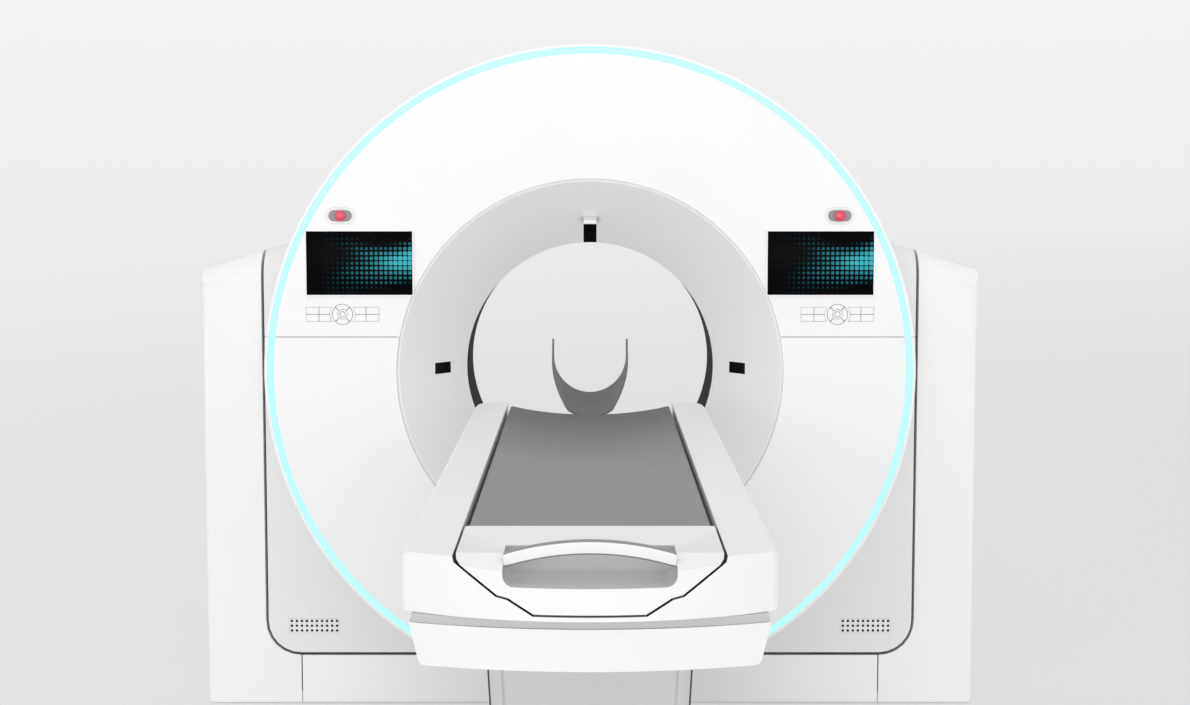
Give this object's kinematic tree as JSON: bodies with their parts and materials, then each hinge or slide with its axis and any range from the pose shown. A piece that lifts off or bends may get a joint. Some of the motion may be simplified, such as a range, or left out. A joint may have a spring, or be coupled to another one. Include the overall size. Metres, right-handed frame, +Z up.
{
  "type": "ct scanner",
  "caption": "Tilting ring gantry between two towers, with a lit ring, twin screens and key panels, and a lifting patient table with a sliding dished cradle.",
  "frame": {"origin": "on the floor, right below the isocentre: the crossing of the bore's axis, the scan plane and the tilt axis", "axes": "+X across the gantry, to the right for someone at the foot of the table; +Y along the bore, from the foot of the table into the gantry; +Z up"},
  "size_m": [2.274, 3.104, 1.929],
  "materials": {
    "white_cover": "satin white moulded cover",
    "flare_grey": "light grey, satin",
    "scan_window_dark": "dark clear ring",
    "laser_glass": "dark small windows",
    "ring_light": "lit diffuser, cyan",
    "painted_steel": "powder coated",
    "foot_rubber": "matt",
    "column_aluminium": "anodised",
    "deck_grey": "matt",
    "pad_grey": "soft smooth cover",
    "board_grey": "carbon fibre board",
    "handle_white": "satin",
    "holder_grey": "satin",
    "screen_black": "glossy glass",
    "plate_grey": "matt",
    "rotor_metal": "machined casting",
    "tube_metal": "painted",
    "detector_dark": "painted",
    "generator_metal": "painted",
    "button_red": "glossy",
    "key_white": "satin"
  },
  "bodies": {
    "stand": {"base_frame": "painted_steel", "levelling_feet": "foot_rubber", "tower_covers": "white_cover", "base_panels": "white_cover", "table_base": "painted_steel", "table_lower_cover": "white_cover"},
    "table_middle": {"mid_column": "column_aluminium", "table_mid_cover": "white_cover"},
    "table": {"lift_column": "column_aluminium", "table_upper_cover": "white_cover", "table_skirt": "white_cover", "table_deck": "deck_grey", "table_shell": "white_cover"},
    "cradle": {"cradle_board": "board_grey", "end_cap": "white_cover", "grab_handle": "handle_white", "mattress": "pad_grey", "head_holder": "holder_grey"},
    "head": {"tilt_frame": "painted_steel", "head_shell_upper": "white_cover", "head_shell_lower": "white_cover", "front_cover_upper": "white_cover", "front_cover_lower": "white_cover", "rear_cover": "white_cover", "light_ring": "ring_light", "front_flare": "flare_grey", "scan_window": "scan_window_dark", "laser_windows": "laser_glass", "speaker_grilles": "white_cover", "screen_bezels": "white_cover", "screen_panels": "screen_black", "control_plates": "plate_grey"},
    "rotor": {"rotor_drum": "rotor_metal", "xray_tube": "tube_metal", "detector_array": "detector_dark", "generators": "generator_metal"},
    "left_stop": {"left_stop_button": "button_red"},
    "left_upper_key_1_body": {"left_upper_key_1": "key_white"},
    "left_upper_key_2_body": {"left_upper_key_2": "key_white"},
    "left_upper_key_3_body": {"left_upper_key_3": "key_white"},
    "left_upper_key_4_body": {"left_upper_key_4": "key_white"},
    "left_lower_key_1_body": {"left_lower_key_1": "key_white"},
    "left_lower_key_2_body": {"left_lower_key_2": "key_white"},
    "left_lower_key_3_body": {"left_lower_key_3": "key_white"},
    "left_lower_key_4_body": {"left_lower_key_4": "key_white"},
    "left_ring_key_body": {"left_ring_key": "key_white"},
    "left_centre_key_body": {"left_centre_key": "key_white"},
    "right_stop": {"right_stop_button": "button_red"},
    "right_upper_key_1_body": {"right_upper_key_1": "key_white"},
    "right_upper_key_2_body": {"right_upper_key_2": "key_white"},
    "right_upper_key_3_body": {"right_upper_key_3": "key_white"},
    "right_upper_key_4_body": {"right_upper_key_4": "key_white"},
    "right_lower_key_1_body": {"right_lower_key_1": "key_white"},
    "right_lower_key_2_body": {"right_lower_key_2": "key_white"},
    "right_lower_key_3_body": {"right_lower_key_3": "key_white"},
    "right_lower_key_4_body": {"right_lower_key_4": "key_white"},
    "right_ring_key_body": {"right_ring_key": "key_white"},
    "right_centre_key_body": {"right_centre_key": "key_white"}
  },
  "joints": [
    {"name": "gantry_tilt", "type": "hinge", "parent": "stand", "child": "head", "pos_m": [0, 0, 1.011], "axis": [-1, 0, 0], "range_deg": [-30, 30]},
    {"name": "rotor_spin", "type": "hinge", "parent": "head", "child": "rotor", "pos_m": [0, 0, 1.011], "axis": [0, 1, 0], "continuous": true},
    {"name": "table_lift", "type": "slide", "parent": "stand", "child": "table", "axis": [0, 0, 1], "range_m": [-0.42, 0]},
    {"name": "mid_cover_lift", "type": "slide", "parent": "stand", "child": "table_middle", "axis": [0, 0, 1], "range_m": [-0.21, 0]},
    {"name": "cradle_slide", "type": "slide", "parent": "table", "child": "cradle", "axis": [0, 1, 0], "range_m": [0, 1.45]},
    {"name": "left_stop_press", "type": "slide", "parent": "head", "child": "left_stop", "axis": [0, 1, 0], "range_m": [0, 0.004], "stiffness_N_per_m": 1500, "springref_m": -0.002},
    {"name": "left_upper_key_1_press", "type": "slide", "parent": "head", "child": "left_upper_key_1_body", "axis": [0, 1, 0], "range_m": [0, 0.0012], "stiffness_N_per_m": 1200, "springref_m": -0.0008},
    {"name": "left_upper_key_2_press", "type": "slide", "parent": "head", "child": "left_upper_key_2_body", "axis": [0, 1, 0], "range_m": [0, 0.0012], "stiffness_N_per_m": 1200, "springref_m": -0.0008},
    {"name": "left_upper_key_3_press", "type": "slide", "parent": "head", "child": "left_upper_key_3_body", "axis": [0, 1, 0], "range_m": [0, 0.0012], "stiffness_N_per_m": 1200, "springref_m": -0.0008},
    {"name": "left_upper_key_4_press", "type": "slide", "parent": "head", "child": "left_upper_key_4_body", "axis": [0, 1, 0], "range_m": [0, 0.0012], "stiffness_N_per_m": 1200, "springref_m": -0.0008},
    {"name": "left_lower_key_1_press", "type": "slide", "parent": "head", "child": "left_lower_key_1_body", "axis": [0, 1, 0], "range_m": [0, 0.0012], "stiffness_N_per_m": 1200, "springref_m": -0.0008},
    {"name": "left_lower_key_2_press", "type": "slide", "parent": "head", "child": "left_lower_key_2_body", "axis": [0, 1, 0], "range_m": [0, 0.0012], "stiffness_N_per_m": 1200, "springref_m": -0.0008},
    {"name": "left_lower_key_3_press", "type": "slide", "parent": "head", "child": "left_lower_key_3_body", "axis": [0, 1, 0], "range_m": [0, 0.0012], "stiffness_N_per_m": 1200, "springref_m": -0.0008},
    {"name": "left_lower_key_4_press", "type": "slide", "parent": "head", "child": "left_lower_key_4_body", "axis": [0, 1, 0], "range_m": [0, 0.0012], "stiffness_N_per_m": 1200, "springref_m": -0.0008},
    {"name": "left_ring_key_press", "type": "slide", "parent": "head", "child": "left_ring_key_body", "axis": [0, 1, 0], "range_m": [0, 0.0012], "stiffness_N_per_m": 1200, "springref_m": -0.0008},
    {"name": "left_centre_key_press", "type": "slide", "parent": "head", "child": "left_centre_key_body", "axis": [0, 1, 0], "range_m": [0, 0.0012], "stiffness_N_per_m": 1200, "springref_m": -0.0008},
    {"name": "right_stop_press", "type": "slide", "parent": "head", "child": "right_stop", "axis": [0, 1, 0], "range_m": [0, 0.004], "stiffness_N_per_m": 1500, "springref_m": -0.002},
    {"name": "right_upper_key_1_press", "type": "slide", "parent": "head", "child": "right_upper_key_1_body", "axis": [0, 1, 0], "range_m": [0, 0.0012], "stiffness_N_per_m": 1200, "springref_m": -0.0008},
    {"name": "right_upper_key_2_press", "type": "slide", "parent": "head", "child": "right_upper_key_2_body", "axis": [0, 1, 0], "range_m": [0, 0.0012], "stiffness_N_per_m": 1200, "springref_m": -0.0008},
    {"name": "right_upper_key_3_press", "type": "slide", "parent": "head", "child": "right_upper_key_3_body", "axis": [0, 1, 0], "range_m": [0, 0.0012], "stiffness_N_per_m": 1200, "springref_m": -0.0008},
    {"name": "right_upper_key_4_press", "type": "slide", "parent": "head", "child": "right_upper_key_4_body", "axis": [0, 1, 0], "range_m": [0, 0.0012], "stiffness_N_per_m": 1200, "springref_m": -0.0008},
    {"name": "right_lower_key_1_press", "type": "slide", "parent": "head", "child": "right_lower_key_1_body", "axis": [0, 1, 0], "range_m": [0, 0.0012], "stiffness_N_per_m": 1200, "springref_m": -0.0008},
    {"name": "right_lower_key_2_press", "type": "slide", "parent": "head", "child": "right_lower_key_2_body", "axis": [0, 1, 0], "range_m": [0, 0.0012], "stiffness_N_per_m": 1200, "springref_m": -0.0008},
    {"name": "right_lower_key_3_press", "type": "slide", "parent": "head", "child": "right_lower_key_3_body", "axis": [0, 1, 0], "range_m": [0, 0.0012], "stiffness_N_per_m": 1200, "springref_m": -0.0008},
    {"name": "right_lower_key_4_press", "type": "slide", "parent": "head", "child": "right_lower_key_4_body", "axis": [0, 1, 0], "range_m": [0, 0.0012], "stiffness_N_per_m": 1200, "springref_m": -0.0008},
    {"name": "right_ring_key_press", "type": "slide", "parent": "head", "child": "right_ring_key_body", "axis": [0, 1, 0], "range_m": [0, 0.0012], "stiffness_N_per_m": 1200, "springref_m": -0.0008},
    {"name": "right_centre_key_press", "type": "slide", "parent": "head", "child": "right_centre_key_body", "axis": [0, 1, 0], "range_m": [0, 0.0012], "stiffness_N_per_m": 1200, "springref_m": -0.0008}
  ],
  "couplings": [
    {"joint": "mid_cover_lift", "follows": "table_lift", "ratio": 0.5}
  ]
}
